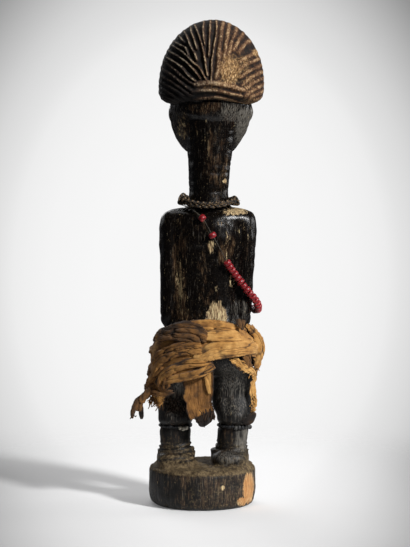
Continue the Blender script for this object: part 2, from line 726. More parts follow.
on_trunk = ease(150, 158, z) * ease(250, 242, z)
browned -= 0.22 * on_trunk * ease(0.3, 0.0, browned)
jaw = ease(19, 24, np.abs(x - 0.5)) * ease(286, 293, z) * ease(330, 323, z)
jaw *= ease(-0.45, 0.15, facing[:, 1])
greyed = np.maximum.reduce(
    [
        0.12 * base_side * (x < 10),
        spot(-18, 324, 12, 9, 0.7),
        spot(-24, 92, 14, 26, 0.42),
        spot(-20, 38, 12, 6, 0.62),
        spot(24, 84, 12, 18, 0.4),
        spot(20, 97, 4, 9, 0.9),
        spot(-23, 105, 11, 15, 0.66),
        spot(-33, 54, 6, 13, 0.85),
        spot(-28, 160, 9, 9, 0.38),
        jaw * np.where(x > 0, 0.55, 0.9),
    ]
)
ochre = np.maximum.reduce(
    [
        spot(-15, 357, 9, 12, 0.95),
        spot(-24, 362, 8, 9, 0.5),
        spot(-31, 345, 8, 12, 0.35),
        spot(-37.5, 372, 5, 3.5, 0.95),
        spot(-31, 331, 7, 5, 0.5),
        spot(0, 343.5, 13, 3, 0.35),
        spot(-36, 12, 8, 14, 0.65),
    ]
)
over_feet = ease(58, 43, z) * np.where(x > 0, 0.56, 0.3) * (z > 30)
earth = np.clip(ease(44, 33, z) * ease(27.5, 29.5, z) + ground + over_feet, 0, 1)
rim = ease(37, 40, from_axis) * ease(25.6, 26.8, z) * (z < 32)
lit = 1 - 0.85 * ease(8, 24, x)
crusted = 0.25 * lumps(skin, 6, 23) * earth
earth = np.clip(np.maximum(earth, 0.8 * rim) + crusted + 0.22 * base_side * lit, 0, 1)
earth = earth * (1 - spot(-20.6, 38, 15, 7, 0.75))
earth -= 0.78 * ease(33, 36, z) * (x > 0) * np.where(z < 54, 0.55 - 0.45 * ridges, 0.3) * earth
worn_hair = 0.6 * ease(4, 16, skin[:, 0]) * ease(352, 338, skin[:, 2])
marks = {
    "dulled": 0.55 * ease(146, 138, z),
    "bare": bare,
    "browned": browned,
    "greyed": greyed,
    "ochre": ochre,
    "earth": earth,
    "combed": (1 + (combed - 1) * (1 - worn_hair)) * on_hair,
}
for name, values in marks.items():
    layers = carving.data.attributes
    layer = layers.get(name) or layers.new(name, "FLOAT", "POINT")
    layer.data.foreach_set("value", values)


def stood(places):
    """Millimetres as drawn to metres as it stands, with the figure's lean and its base down."""
    lean = LEAN_PER_MM * np.maximum(0, places[:, 2] - BASE_TOP)
    return np.stack([places[:, 0] - lean, places[:, 1], places[:, 2] + DATUM], axis=1) / 1000


move_to(carving, stood(skin))
select_only(carving)
bpy.ops.object.shade_smooth()


def colour(code):
    """A colour as a painter's hex code, turned to the linear values that Blender takes."""
    parts = [int(code[n : n + 2], 16) / 255 for n in (1, 3, 5)]
    return [p / 12.92 if p <= 0.04045 else ((p + 0.055) / 1.055) ** 2.4 for p in parts] + [1]


def add_node(tree, kind, links=None, stops=None, out=0, **settings):
    """Adds a node with its links or values, its ramp and its settings, and returns one output."""
    node = tree.nodes.new("ShaderNode" + kind)
    for key, value in settings.items():
        setattr(node, key, value)
    for socket, source in (links or {}).items():
        if isinstance(source, bpy.types.NodeSocket):
            tree.links.new(source, node.inputs[socket])
        else:
            node.inputs[socket].default_value = source
    if stops:
        ramp = node.color_ramp
        while len(ramp.elements) < len(stops):
            ramp.elements.new(0.5)
        for element, (position, code) in zip(ramp.elements, stops):
            element.position = position
            element.color = colour(code)
    return node.outputs[out]


def new_finish(name):
    finish = bpy.data.materials.new(name)
    finish.use_nodes = True
    return finish, finish.node_tree, finish.node_tree.nodes["Principled BSDF"]


def coat_with(piece, finish):
    piece.data.materials.clear()
    piece.data.materials.append(finish)


def grain(tree, place, scale, detail, roughness):
    """Random values about 0.5, the scale being the features a unit of place along each axis."""
    place = add_node(tree, "Mapping", {"Vector": place, "Scale": scale})
    links = {"Vector": place, "Scale": 1.0, "Detail": detail, "Roughness": roughness}
    return add_node(tree, "TexNoise", links, out="Fac")


def ragged(tree, amount, texture, strength, low, high):
    """A soft mark whose edge a texture breaks up, stretched from low and high to 0 and 1."""
    reach = {"From Min": 0.3, "From Max": 0.7, "To Min": -strength, "To Max": strength}
    pushed = add_node(tree, "MapRange", {"Value": texture, **reach})
    total = add_node(tree, "Math", {0: amount, 1: pushed}, operation="ADD")
    return add_node(tree, "MapRange", {"Value": total, "From Min": low, "From Max": high})


# Dense wood stained black and oiled by hands: a near-black skin with brown upright fibres, rubbed
# through to pale wood in places, with dull earth on the base and brown crests on the coiffure.
wood, tree, surface = new_finish("oiled_blackened_wood")
surface.inputs["Specular IOR Level"].default_value = 0.3

# Features in millimetres, across and up: fibres 2.3 and 29, threads 0.9 and 11, clouds 11 and 25,
# blots 4 and 11, crumbs 2.4 every way, flecks 1.1 and 2. The real pores are finer and don't show.
place = add_node(tree, "TexCoord", out="Object")
fibres = grain(tree, place, (430, 430, 34), 6.0, 0.66)
threads = grain(tree, place, (1100, 1100, 90), 4.0, 0.65)
clouds = grain(tree, place, (90, 90, 40), 5.0, 0.65)
blots = grain(tree, place, (260, 260, 90), 5.0, 0.7)
crumbs = grain(tree, place, (420, 420, 420), 5.0, 0.7)
flecks = grain(tree, place, (900, 900, 500), 3.0, 0.7)
painted = {name: add_node(tree, "Attribute", out="Fac", attribute_name=name) for name in marks}

black = add_node(
    tree, "ValToRGB", {"Fac": threads}, [(0.3, "#020101"), (0.55, "#080503"), (0.75, "#18100a")]
)
brown = add_node(
    tree, "ValToRGB", {"Fac": threads},
    [(0.36, "#110b07"), (0.48, "#2f2117"), (0.57, "#54402d"), (0.68, "#84704f")],
)
stain_range = {"From Min": 0.35, "From Max": 0.7, "To Min": -0.6, "To Max": 0.2}
stain = add_node(tree, "MapRange", {"Value": clouds, **stain_range})
stain = add_node(tree, "Math", {0: stain, 1: painted["browned"]}, operation="ADD")
stain = ragged(tree, stain, blots, 0.7, 0.2, 1.0)
body = add_node(tree, "MixRGB", {"Fac": stain, "Color1": black, "Color2": brown})
film = ragged(tree, painted["greyed"], threads, 0.7, 0.35, 1.1)
body = add_node(tree, "MixRGB", {"Fac": film, "Color1": body, "Color2": colour("#625e57")})
pale_wood = add_node(
    tree, "ValToRGB", {"Fac": threads},
    [(0.38, "#46331f"), (0.46, "#8a7050"), (0.54, "#b9a27a"), (0.66, "#d8c595")],
)
amber = {"Fac": painted["ochre"], "Color1": pale_wood, "Color2": colour("#b97b40")}
pale_wood = add_node(tree, "MixRGB", amber)
rubbed_through = ragged(tree, painted["bare"], fibres, 0.5, 0.25, 0.8)
rubbed_through = ragged(tree, rubbed_through, flecks, 0.45, 0.35, 0.75)
body = add_node(tree, "MixRGB", {"Fac": rubbed_through, "Color1": body, "Color2": pale_wood})
dust = add_node(
    tree, "ValToRGB", {"Fac": crumbs},
    [(0.34, "#30261a"), (0.47, "#52432e"), (0.62, "#706045"), (0.78, "#917d5b")],
)
dusty = ragged(tree, painted["earth"], crumbs, 0.35, 0.2, 0.95)
body = add_node(tree, "MixRGB", {"Fac": dusty, "Color1": body, "Color2": dust})

# The coiffure's colour follows the height of its crests: dark in the valleys, brown to pale on
# top, greyer on the figure's left, redder and more worn on its right, ochre where it is bare.
crest = ragged(tree, painted["combed"], flecks, 0.42, 1.0, 2.15)
crest = ragged(tree, crest, blots, 0.3, 0.0, 1.0)
sharp_hair = add_node(
    tree, "ValToRGB", {"Fac": crest},
    [(0.0, "#040302"), (0.35, "#150d08"), (0.7, "#3c2f26"), (1.0, "#8c806c")],
)
blunt_hair = add_node(
    tree, "ValToRGB", {"Fac": crest},
    [(0.0, "#0d0704"), (0.25, "#28170d"), (0.5, "#452c1a"), (0.75, "#6b4c32"), (1.0, "#a98e6a")],
)
across = add_node(tree, "SeparateXYZ", {0: place}, out="X")
blunt = add_node(tree, "MapRange", {"Value": across, "From Min": 0.016, "From Max": -0.022})
blunt = ragged(tree, blunt, clouds, 0.3, 0.1, 0.9)
hair = add_node(tree, "MixRGB", {"Fac": blunt, "Color1": sharp_hair, "Color2": blunt_hair})
bare_hair = add_node(
    tree, "ValToRGB", {"Fac": flecks},
    [(0.36, "#4a3018"), (0.48, "#80603a"), (0.58, "#b08c5e"), (0.68, "#d2b88c")],
)
bared = ragged(tree, painted["ochre"], crumbs, 0.45, 0.3, 1.0)
hair = add_node(tree, "MixRGB", {"Fac": bared, "Color1": hair, "Color2": bare_hair})
is_hair = add_node(tree, "Math", {0: painted["combed"], 1: 0.5}, operation="GREATER_THAN")
body = add_node(tree, "MixRGB", {"Fac": is_hair, "Color1": body, "Color2": hair})
tree.links.new(body, surface.inputs["Base Color"])

# Bare wood, earth and hair are dull, and so are the legs. The oiled skin between them shines.
caked = {0: painted["earth"], 1: 1.9}
caked = add_node(tree, "Math", caked, operation="MULTIPLY", use_clamp=True)
dull = rubbed_through
for also_dull in (dusty, is_hair, caked, painted["dulled"]):
    dull = add_node(tree, "Math", {0: dull, 1: also_dull}, operation="MAXIMUM")
dull = add_node(tree, "MapRange", {"Value": dull, "To Min": 0.25, "To Max": 0.8})
uneven = add_node(tree, "MapRange", {"Value": crumbs, "To Min": -0.12, "To Max": 0.14})
dull = add_node(tree, "Math", {0: dull, 1: uneven}, operation="ADD")
tree.links.new(dull, surface.inputs["Roughness"])
relief = {"Strength": 0.22, "Distance": 0.0005, "Height": threads}
relief = add_node(tree, "Bump", relief)
relief = {"Strength": 0.16, "Distance": 0.001, "Height": fibres, "Normal": relief}
relief = add_node(tree, "Bump", relief)
relief = {"Strength": 0.25, "Distance": 0.0006, "Height": crumbs, "Normal": relief}
relief = add_node(tree, "Bump", relief)
tree.links.new(relief, surface.inputs["Normal"])
coat_with(carving, wood)
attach(carving, "root")
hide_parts("carved_figure")

# The braided neck cord: three strands of dark plant fibre plaited into a stiff loop that sits round
# the foot of the neck, higher over the shoulders than behind and in front. Bunches tangle at each
# side, by x, y, height, half width, half height and turn.
CORD_LOOPS = 26
CORD_RING = (22, 22.6)
CORD_HEIGHT = 249
CORD_RISE = 1.7
PLAIT_HALF_HEIGHT = 1.75
PLAIT_HALF_DEPTH = 1.05
STRAND_RADIUS = 1.08
STRAY_RADIUS = 0.16
BUNCHES = [
    (21, 9, 252, 3.6, 3.9, 0.5), (19, 12, 251, 3.4, 3, 0.9), (21.6, 6, 251, 2.6, 2.8, 0.1),
    (20.4, 10.4, 251.4, 1.9, 2.4, 0.8), (22, 7.4, 251.8, 1.2, 2.4, 0.3),
    (18, 13.2, 252.2, 2.2, 2.2, 0.9), (19.6, 11.4, 249.4, 3, 1.6, 0.6),
    (-21.2, 9, 250.2, 3.4, 3.4, -0.5), (-22.4, 6, 249.2, 2.4, 2.4, -0.2),
    (-19.6, 12, 249.6, 3.2, 2.4, -0.9), (-21.2, 9.6, 250, 1.6, 1.9, -0.7),
    (-22, 9, 248.4, 2.6, 1.4, -0.5), (22.2, 8, 249.4, 2.8, 2.2, 0.4),
    (-23, 8, 248.2, 2.2, 1.6, -0.4),
]


def spun(name, points, radius, sides=8, closed=True):
    """A round yarn along points in metres, its UV map once round it and its length in metres."""
    points = np.asarray(points, float)
    count = len(points)
    if closed:
        tangent = unit(np.roll(points, -1, 0) - np.roll(points, 1, 0))
    else:
        tangent = unit(np.gradient(points, axis=0))
    side = unit(np.cross(tangent, (0.13, 0.24, 1.0)))
    other = np.cross(tangent, side)
    radii = np.broadcast_to(radius, (count,))
    turns = np.linspace(0, math.tau, sides, endpoint=False)
    ring = np.cos(turns)[None, :, None] * side[:, None]
    ring = ring + np.sin(turns)[None, :, None] * other[:, None]
    places = (points[:, None] + ring * radii[:, None, None]).reshape(-1, 3)
    steps = np.linalg.norm(np.diff(points, axis=0, append=points[:1]), axis=1)
    length = np.concatenate([[0], np.cumsum(steps)])
    faces = []
    uvs = []
    spans = count if closed else count - 1
    for n in range(spans):
        after = (n + 1) % count
        for k in range(sides):
            j = (k + 1) % sides
            faces.append((n * sides + k, n * sides + j, after * sides + j, after * sides + k))
            a, b = k / sides, (k + 1) / sides
            uvs += [(a, length[n]), (b, length[n]), (b, length[n + 1]), (a, length[n + 1])]
    if not closed:
        faces.append(tuple(range(sides))[::-1])
        faces.append(tuple(range((count - 1) * sides, count * sides)))
        uvs += [(0, 0)] * (2 * sides)
    mesh = bpy.data.meshes.new(name)
    mesh.from_pydata(places, [], faces)
    mesh.uv_layers.new(name="UVMap").data.foreach_set("uv", np.ravel(uvs))
    return new_piece(name, mesh)


def gathered_up(name, parts):
    """One smooth piece of all its parts, with its faces outwards."""
    select_only(*parts)
    if len(parts) > 1:
        bpy.ops.object.join()
    whole = bpy.context.object
    whole.name = name
    turn_faces_outwards(whole)
    bpy.ops.object.shade_smooth()
    return whole


def cord_middle(turn):
    wide, deep = CORD_RING
    rise = CORD_RISE * np.cos(2 * turn)
    return np.stack(
        [wide * np.cos(turn), 3.5 + deep * np.sin(turn), CORD_HEIGHT + rise], axis=-1
    )


def cord_strand(share):
    t = np.linspace(0, math.tau, 520, endpoint=False)
    outward = np.stack([np.cos(t), np.sin(t), t * 0], axis=1)
    lay = t * CORD_LOOPS / 3 + math.tau * share
    uneven = 1 + 0.1 * lumps(np.stack([t * 9, t * 0 + share * 7, t * 0], axis=1), 1.0, 31)
    rise = PLAIT_HALF_HEIGHT * np.sin(lay) * uneven
    depth = PLAIT_HALF_DEPTH * np.sin(2 * lay)
    points = cord_middle(t) + outward * depth[:, None]
    points[:, 2] += rise
    return spun("strand", stood(points), STRAND_RADIUS / 1000)


random.seed(7)
loose_parts = []
for _ in range(26):
    t = random.uniform(0, math.tau)
    start = Vector(cord_middle(t))
    way = Vector((math.cos(t), math.sin(t), random.uniform(-1.2, 1.2))).normalized()
    bow = Vector((random.uniform(-1, 1), random.uniform(-1, 1), random.uniform(-1, 1)))
    reach = random.uniform(1.0, 2.4)
    line = [start + way * (2.2 + reach * k / 5) + bow * 0.05 * k * k for k in range(6)]
    stray = spun("stray", stood(np.array(line)), STRAY_RADIUS / 1000, sides=3, closed=False)
    loose_parts.append(stray)
for x, y, z, wide, high, turned in BUNCHES:
    a = np.linspace(0, math.tau, 40, endpoint=False)
    bow = wide * np.cos(a) * (1 - 0.35 * np.sin(a))
    loop = np.stack(
        [x + bow * math.cos(turned), y + bow * math.sin(turned), z + high * np.sin(a)], axis=1
    )
    loose_parts.append(spun("bunch", stood(loop), STRAND_RADIUS * 0.8 / 1000))
strands = [cord_strand(k / 3) for k in range(3)]
neck_cord = gathered_up("plaited_neck_cord", strands + loose_parts)

# Dark twisted plant fibre, greased by handling: each strand shows its own twist as fine slanting
# lines 1.6 mm apart, drawn about twice as coarse as the real one, with paler rubbed high spots.
fibre, tree, surface = new_finish("twisted_plant_fibre")
surface.inputs["Roughness"].default_value = 0.74
lay = add_node(tree, "UVMap", uv_map="UVMap")
lay = add_node(tree, "Mapping", {"Vector": lay, "Scale": (1, 620, 1)})
twist = add_node(
    tree, "TexWave", {"Vector": lay, "Scale": 0.318, "Distortion": 1.2, "Detail": 2.0},
    out="Fac", wave_type="BANDS", bands_direction="DIAGONAL",
)
shade = add_node(
    tree, "ValToRGB", {"Fac": twist}, [(0.2, "#0b0805"), (0.6, "#2a1f13"), (0.95, "#6a553a")]
)
tree.links.new(shade, surface.inputs["Base Color"])
relief = add_node(tree, "Bump", {"Strength": 0.8, "Distance": 0.0005, "Height": twist})
tree.links.new(relief, surface.inputs["Normal"])
coat_with(neck_cord, fibre)
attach(neck_cord, "root")
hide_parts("neck_cord")

# The bead thread: a closed loop of cotton over the left shoulder, slantwise down the back, round
# the right elbow and up the front. It keeps a bead's radius clear of the wood all the way.
THREAD_BEHIND = [
    [4.9, 237, 4.5],
    [-3.8, 223, 4],
    [-10.4, 211.6, 4],
    [-16.5, 200.1, 4.1],
    [-22, 192, 4.5],
    [-27.7, 184.3, 4.8],
    [-33.6, 177, 4.9],
]
THREAD_ROUND = [
    [160, 167.5, 5.5],
    [174, 160.5, 5.6],
    [190, 158.5, 5.6],
    [203, 163.5, 7],
    [217, 170.5, 6.4],
    [229, 176, 5.2],
    [238, 181, 4.4],
    [251, 195, 4],
    [264, 208, 4],
    [280, 221, 3.5],
    [297, 233, 3],
]
THREAD_OVER = [[20.2, -12.5, 246], [22.6, -1, 246.4], [19, 11.5, 245.6], [12.5, 22, 243]]


def thread_course():
    """Where it turns: by x, height and clearance down the back, by direction, height and clearance
    round the arm, and by x, y, z over the shoulder."""
    form = BVHTree.FromPolygons(
        [Vector(p) for p in skin], [list(face.vertices) for face in carving.data.polygons]
    )
    course = []
    for x, height, clear in THREAD_BEHIND:
        hit = form.ray_cast(Vector((x, 200, height)), Vector((0, -1, 0)))[0]
        course.append((x, hit.y + clear, height))
    for degrees, height, clear in THREAD_ROUND:
        way = Vector((math.cos(math.radians(degrees)), math.sin(math.radians(degrees)), 0))
        hit = form.ray_cast(way * 200 + Vector((0, 0, height)), -way)[0]
        course.append(tuple(hit + way * clear))
    return np.array(course + [tuple(p) for p in THREAD_OVER])


def rounded_loop(course, steps):
    """A closed centripetal curve through a course, with steps points a span."""
    count = len(course)
    points = []
    for n in range(count):
        p = [course[(n + k) % count] for k in (-1, 0, 1, 2)]
        gap = [max(1e-6, np.linalg.norm(p[k + 1] - p[k]) ** 0.5) for k in range(3)]
        start = (p[1] - p[0]) / gap[0] - (p[2] - p[0]) / (gap[0] + gap[1]) + (p[2] - p[1]) / gap[1]
        stop = (p[2] - p[1]) / gap[1] - (p[3] - p[1]) / (gap[1] + gap[2]) + (p[3] - p[2]) / gap[2]
        start, stop = start * gap[1], stop * gap[1]
        for t in np.linspace(0, 1, steps, endpoint=False):
            a = (2 * t**3 - 3 * t**2 + 1) * p[1] + (t**3 - 2 * t**2 + t) * start
            points.append(a + (3 * t**2 - 2 * t**3) * p[2] + (t**3 - t**2) * stop)
    return np.array(points)


STEPS_A_SPAN = 40
PLY_RADIUS = 0.21
PLY_OFFSET = 0.2
PLY_TWIST_PITCH = 3.2
thread_line = rounded_loop(thread_course(), STEPS_A_SPAN)
thread_length = np.concatenate(
    [[0], np.cumsum(np.linalg.norm(np.roll(thread_line, -1, 0) - thread_line, axis=1))]
)
whole_length = thread_length[-1]
laps = np.concatenate([thread_line, thread_line[:1]])


def on_thread(distance):
    distance = distance % whole_length
    return np.array([np.interp(distance, thread_length, laps[:, k]) for k in range(3)])


plies = []
for ply in (0, 1):
    distances = np.arange(0, whole_length, 0.55)
    centre = np.array([on_thread(d) for d in distances])
    along = unit(np.roll(centre, -1, 0) - np.roll(centre, 1, 0))
    side = unit(np.cross(along, (0.13, 0.24, 1.0)))
    other = np.cross(along, side)
    twists = round(whole_length / PLY_TWIST_PITCH)
    turns = twists * math.tau * distances / whole_length + math.pi * ply
    offset = PLY_OFFSET * (np.cos(turns)[:, None] * side + np.sin(turns)[:, None] * other)
    plies.append(spun("ply", stood(centre + offset), PLY_RADIUS / 1000, sides=5))
bead_thread = gathered_up("cotton_bead_thread", plies)

# Handspun cotton, greyed by dirt and handling. It is matt, with fibres that change from dark to
# light every 1.1 mm along it.
cotton_thread, tree, surface = new_finish("twisted_cotton_thread")
surface.inputs["Roughness"].default_value = 0.85
lay = add_node(tree, "UVMap", uv_map="UVMap")
lay = add_node(tree, "Mapping", {"Vector": lay, "Scale": (2, 900, 1)})
fuzz = add_node(tree, "TexNoise", {"Vector": lay, "Scale": 1.0, "Detail": 2.0}, out="Fac")
shade = add_node(tree, "ValToRGB", {"Fac": fuzz}, [(0.3, "#1d1915"), (0.7, "#5a5246")])
tree.links.new(shade, surface.inputs["Base Color"])
coat_with(bead_thread, cotton_thread)
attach(bead_thread, "root")
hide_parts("bead_thread")

# The red beads: pressed glass rings with round shoulders, strung close over the elbow and one by
# one near the neck. The glass is a dull rose red, its edges chalky in patches of 1.6 mm, and the
# last beads in front are dark with soot.
BEAD_RADIUS = 3.2
BEAD_LENGTH = 3.4
LONE_BEAD_LENGTH = 4.2
BEAD_BORE = 0.95
BEAD_PITCH = 4.2
BEADS_BEHIND = 13
BEADS_IN_FRONT = 5
red_glass, tree, surface = new_finish("pressed_red_glass")
surface.inputs["IOR"].default_value = 1.52
surface.inputs["Coat Weight"].default_value = 0.12
surface.inputs["Coat Roughness"].default_value = 0.12
place = add_node(tree, "TexCoord", out="Object")
wear = {"Vector": place, "Scale": 620.0, "Detail": 4.0, "Roughness": 0.65}
wear = add_node(tree, "TexNoise", wear, out="Fac")
rim = add_node(tree, "Attribute", out="Fac", attribute_name="rim")
chalk = add_node(tree, "Math", {0: rim, 1: wear}, operation="MULTIPLY")
shade = add_node(
    tree, "ValToRGB", {"Fac": chalk},
    [(0.0, "#62090f"), (0.4, "#93151f"), (0.58, "#ab3a3c"), (0.74, "#c4877a")],
)
soot = add_node(tree, "Attribute", out="Fac", attribute_name="soot")
shade = add_node(tree, "MixRGB", {"Fac": soot, "Color1": shade, "Color2": colour("#2a2426")})
tree.links.new(shade, surface.inputs["Base Color"])
rough = add_node(tree, "MapRange", {"Value": wear, "To Min": 0.24, "To Max": 0.6})
tree.links.new(rough, surface.inputs["Roughness"])
relief = add_node(tree, "Bump", {"Strength": 0.3, "Distance": 0.0002, "Height": wear})
tree.links.new(relief, surface.inputs["Normal"])


def bead(name, radius, length, bore, centre, along, soot, steps=28):
    """A drilled ring with round shoulders, its rim and its soot marked from 0 to 1."""
    half = length / 2
    wall = radius - bore
    profile = [(bore, -half * 0.72), (bore + wall * 0.35, -half)]
    for a in [math.radians(degrees) for degrees in range(-80, 81, 16)]:
        profile.append((bore + wall * (0.42 + 0.58 * math.cos(a) ** 0.7), half * math.sin(a)))
    profile += [(bore + wall * 0.35, half), (bore, half * 0.72), (bore, 0)]
    rings = len(profile)
    places = []
    rims = []
    upright_to_thread = Vector((0, 0, 1)).rotation_difference(Vector(along))
    for k in range(steps):
        turn = math.tau * k / steps
        for r, h in profile:
            place = upright_to_thread @ Vector((r * math.cos(turn), r * math.sin(turn), h))
            places.append(place + Vector(centre))
            rims.append(abs(h) / half if r > bore * 1.2 else 1.0)
    faces = []
    for k in range(steps):
        here, there = k * rings, (k + 1) % steps * rings
        for n in range(rings):
            after = (n + 1) % rings
            faces.append((here + n, there + n, there + after, here + after))
    mesh = bpy.data.meshes.new(name)
    mesh.from_pydata(stood(np.array(places)), [], faces)
    mesh.attributes.new("rim", "FLOAT", "POINT").data.foreach_set("value", rims)
    mesh.attributes.new("soot", "FLOAT", "POINT").data.foreach_set("value", [soot] * len(rims))
    return new_piece(name, mesh)


random.seed(11)
run_start = thread_length[3 * STEPS_A_SPAN]
bead_places = [0.0, thread_length[STEPS_A_SPAN]]
bead_places += [run_start + n * BEAD_PITCH for n in range(BEADS_BEHIND + BEADS_IN_FRONT)]
for n, distance in enumerate(bead_places):
    ahead, behind = on_thread(distance + 0.8), on_thread(distance - 0.8)
    along = Vector(ahead - behind).normalized()
    tilt = Vector([random.uniform(-0.12, 0.12) for _ in range(3)])
    number = f"{n + 1:02d}"
    red_bead = bead(
        f"red_glass_bead_{number}",
        BEAD_RADIUS * random.uniform(0.91, 1.05),
        (BEAD_LENGTH if n > 1 else LONE_BEAD_LENGTH) * random.uniform(0.93, 1.05),
        BEAD_BORE,
        on_thread(distance),
        (along + tilt).normalized(),
        soot=0.85 if n in (17, 18, 19) else 0.0,
    )
    red_bead = gathered_up(f"red_glass_bead_{number}", [red_bead])
    coat_with(red_bead, red_glass)
    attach(red_bead, "root")
    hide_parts(f"red_bead_{number}")

# The knee strands: small black glass beads on a thread under each knee, a large one and a small one
# in turn, dull with grime. Three at the back of the left knee are pale, and there and at the right
# knee some hang loose.
KNEE_BEADS = 30
KNEE_RING = (12.85, 13.35)
KNEE_BEAD_BORE = 0.4
KNEE_THREAD_RADIUS = 0.28
dark_glass, tree, surface = new_finish("small_dark_glass_beads")
surface.inputs["Roughness"].default_value = 0.66
surface.inputs["IOR"].default_value = 1.52
pale = add_node(tree, "Attribute", out="Fac", attribute_name="soot")
shade = {"Fac": pale, "Color1": colour("#0c0d11"), "Color2": colour("#b7b1a3")}
shade = add_node(tree, "MixRGB", shade)
tree.links.new(shade, surface.inputs["Base Color"])


def on_knee_ring(turn, away=0.0):
    wide, deep = KNEE_RING
    return np.array([(wide + away) * math.cos(turn), (deep + away) * math.sin(turn), 0])


for side, label in ((1, "left"), (-1, "right")):
    parts = []
    centre = np.array([side * 24.3 + LEG_SHIFT, 5, KNEE_BEAD_HEIGHT])
    for n in range(KNEE_BEADS):
        turn = math.tau * n / KNEE_BEADS
        big = n % 2 == 0
        pale_one = side > 0 and n in (9, 10, 11)
        loose = pale_one or (side < 0 and 7 < n < 15)
        drop = random.uniform(-1.6, 0.6) if loose else random.uniform(-0.25, 0.25)
        place = centre + on_knee_ring(turn, 0.6 if loose else 0.0)
        along = (-KNEE_RING[0] * math.sin(turn), KNEE_RING[1] * math.cos(turn), 0)
        parts.append(
            bead(
                "knee_bead",
                (1.95 if loose else 1.42 if big else 1.1) * random.uniform(0.85, 1.03),
                2.9 if big else 2.5,
                KNEE_BEAD_BORE,
                place + np.array([0, 0, drop]),
                Vector(along).normalized(),
                soot=0.9 if pale_one else random.uniform(0.0, 0.07) if loose else 0.0,
                steps=10,
            )
        )
    turns = np.linspace(0, math.tau, 60, endpoint=False)
    ring = centre + np.array([on_knee_ring(turn) for turn in turns])
    parts.append(spun("knee_thread", stood(ring), KNEE_THREAD_RADIUS / 1000, sides=5))
    strand = gathered_up(f"{label}_knee_strand", parts)
    coat_with(strand, dark_glass)
    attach(strand, "root")
    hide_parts(f"{label}_knee_beads")

# The loincloth: one long strip of handwoven cotton wound about the hips, its upper edge rolled, its
# folds crushed flat and stiff with age. Torn ends hang at the left, at the right and behind.
CLOTH_THICKNESS = 0.7
CLOTH_TOP = [
    141, 142.5, 144, 146.3, 151, 153, 153.4, 152.4, 150, 145.6, 142.4, 141.6, 142, 143, 144, 145,
    146, 146.5, 147, 146.6, 146, 144.5, 143, 142, 141,
]
CLOTH_FOOT = [
    94, 93, 91.5, 91, 105, 110, 118, 123, 124, 123.5, 122, 118, 113, 110, 108, 106, 105, 105.5,
    106, 105.5, 105, 102, 99, 96, 94,
]
HIP_RADIUS = 42.0


def edge_at(edge, turn):
    """The height of an edge, from heights 15 degrees apart that start at the left hip."""
    return along_stations([[z] for z in edge], (np.asarray(turn) / math.tau) % 1)[:, 0]


def on_hips(turn, z, off):
    """Places round the hips, so far out from the skin, in the plain shape of the wound cloth."""
    top, foot_edge = edge_at(CLOTH_TOP, turn), edge_at(CLOTH_FOOT, turn)
    left = np.maximum(0, np.cos(turn))
    share = (z - foot_edge) / (top - foot_edge)
    waist = ease(0, 1, (share - 0.45 - 0.15 * left) / (0.6 + 0.05 * left))
    behind = ease(-0.4, 0.4, np.sin(turn))
    wide = blend(40, 31.5, waist) + left * (3.5 - 2.5 * ease(96, 112, z)) + off
    deep = blend(blend(29, 34.5, behind), blend(26, 28, behind), waist) + off
    return np.stack([wide * np.cos(turn), 2 + deep * np.sin(turn), z], axis=1)


def woven(grid, size, stain, edges, wrap=False):
    """A patch of cloth from a grid of places, its UV map in millimetres of the flat cloth."""
    rows, columns = grid.shape[:2]
    mesh = bpy.data.meshes.new("patch")
    faces = []
    uvs = []
    for i in range(rows - 1 + wrap):
        for j in range(columns - 1):
            a, b = i * columns + j, (i + 1) % rows * columns + j
            faces.append((a, b, b + 1, a + 1))
            u, v = size[0] * i / rows, size[1] * j / columns
            uvs += [(u, v), (u + size[0] / rows, v)]
            uvs += [(u + size[0] / rows, v + size[1] / columns), (u, v + size[1] / columns)]
    mesh.from_pydata(stood(grid.reshape(-1, 3)), [], faces)
    mesh.uv_layers.new(name="UVMap").data.foreach_set("uv", np.ravel(uvs))
    for name, values in (("stain", stain), ("frayed", edges)):
        layer = mesh.attributes.new(name, "FLOAT", "POINT")
        layer.data.foreach_set("value", np.ravel(np.broadcast_to(values, (rows, columns))))
    return new_piece("patch", mesh)


def torn_strip(length, s, half_width, t, seed, waver, sizes, torn):
    """A strip's own flat places: along it, across it between wavering torn sides, and a seed."""
    rim = np.stack([s * length, s * 0 + 5 * seed, s * 0], axis=1)
    coarse, fine = sizes
    low = 1 + waver * lumps(rim, coarse, seed)
    high = 1 + waver * lumps(rim, coarse, seed + 2)
    low = half_width * low + torn * lumps(rim, fine, seed + 1)
    high = half_width * high + torn * lumps(rim, fine, seed + 3)
    side = np.where(t[None] < 0, low[:, None], high[:, None]) * t[None]
    return np.stack(np.broadcast_arrays((s * length)[:, None], side, 3.0 * seed), axis=2)


def creased(strip, courses, seed):
    """Crushed cloth, by (size, swell, sharpness): how high it stands and how deep in a crease."""
    flat = strip.reshape(-1, 3)
    height = np.zeros(len(flat))
    crease = np.zeros(len(flat))
    for n, (size, swell, sharp) in enumerate(courses):
        field = lumps(flat, size, seed + n)
        line = np.exp(-((field / sharp) ** 2))
        height += swell * (1.1 * np.abs(field) ** 0.75 - 0.75 * line)
        crease = np.maximum(crease, line * min(1, 1.3 * swell))
    return height.reshape(strip.shape[:2]), crease.reshape(strip.shape[:2])


FOLD_CREASES = (((24, 3.6, 1), 1.0, 0.1), ((9, 2, 1), 0.5, 0.13), ((4, 1.1, 1), 0.18, 0.25))
HANGING_CREASES = (((18, 3.4, 1), 0.7, 0.12), ((6, 2, 1), 0.4, 0.16), ((3, 1, 1), 0.14, 0.3))


